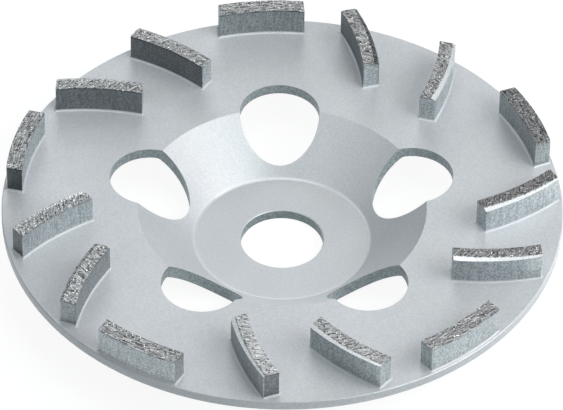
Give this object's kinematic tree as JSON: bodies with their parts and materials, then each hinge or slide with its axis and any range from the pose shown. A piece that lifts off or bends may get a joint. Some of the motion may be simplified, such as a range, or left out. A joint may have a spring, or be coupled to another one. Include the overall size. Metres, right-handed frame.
{
  "type": "diamond cup wheel",
  "caption": "Dished steel cup wheel with vent holes round a plain arbor bore and curved diamond segments brazed to its flat ring.",
  "frame": {"origin": "centre of the bore on the hub's back face, the face that sits on the grinder's flange", "axes": "+Z along the bore axis towards the segments; +Y through the middle of a vent hole; +X completes the right hand"},
  "size_m": [0.15, 0.15, 0.0234],
  "materials": {
    "body_paint": "pale silver paint over turned steel, satin",
    "segment": "silver painted sides, dressed gritty brown-grey top"
  },
  "bodies": {
    "root": {"body": "body_paint", "rim_segment_1": "segment", "outer_slant_segment_1": "segment", "inner_slant_segment_1": "segment", "rim_segment_2": "segment", "outer_slant_segment_2": "segment", "inner_slant_segment_2": "segment", "rim_segment_3": "segment", "outer_slant_segment_3": "segment", "inner_slant_segment_3": "segment", "rim_segment_4": "segment", "outer_slant_segment_4": "segment", "inner_slant_segment_4": "segment", "rim_segment_5": "segment", "outer_slant_segment_5": "segment", "inner_slant_segment_5": "segment"}
  },
  "joints": []
}
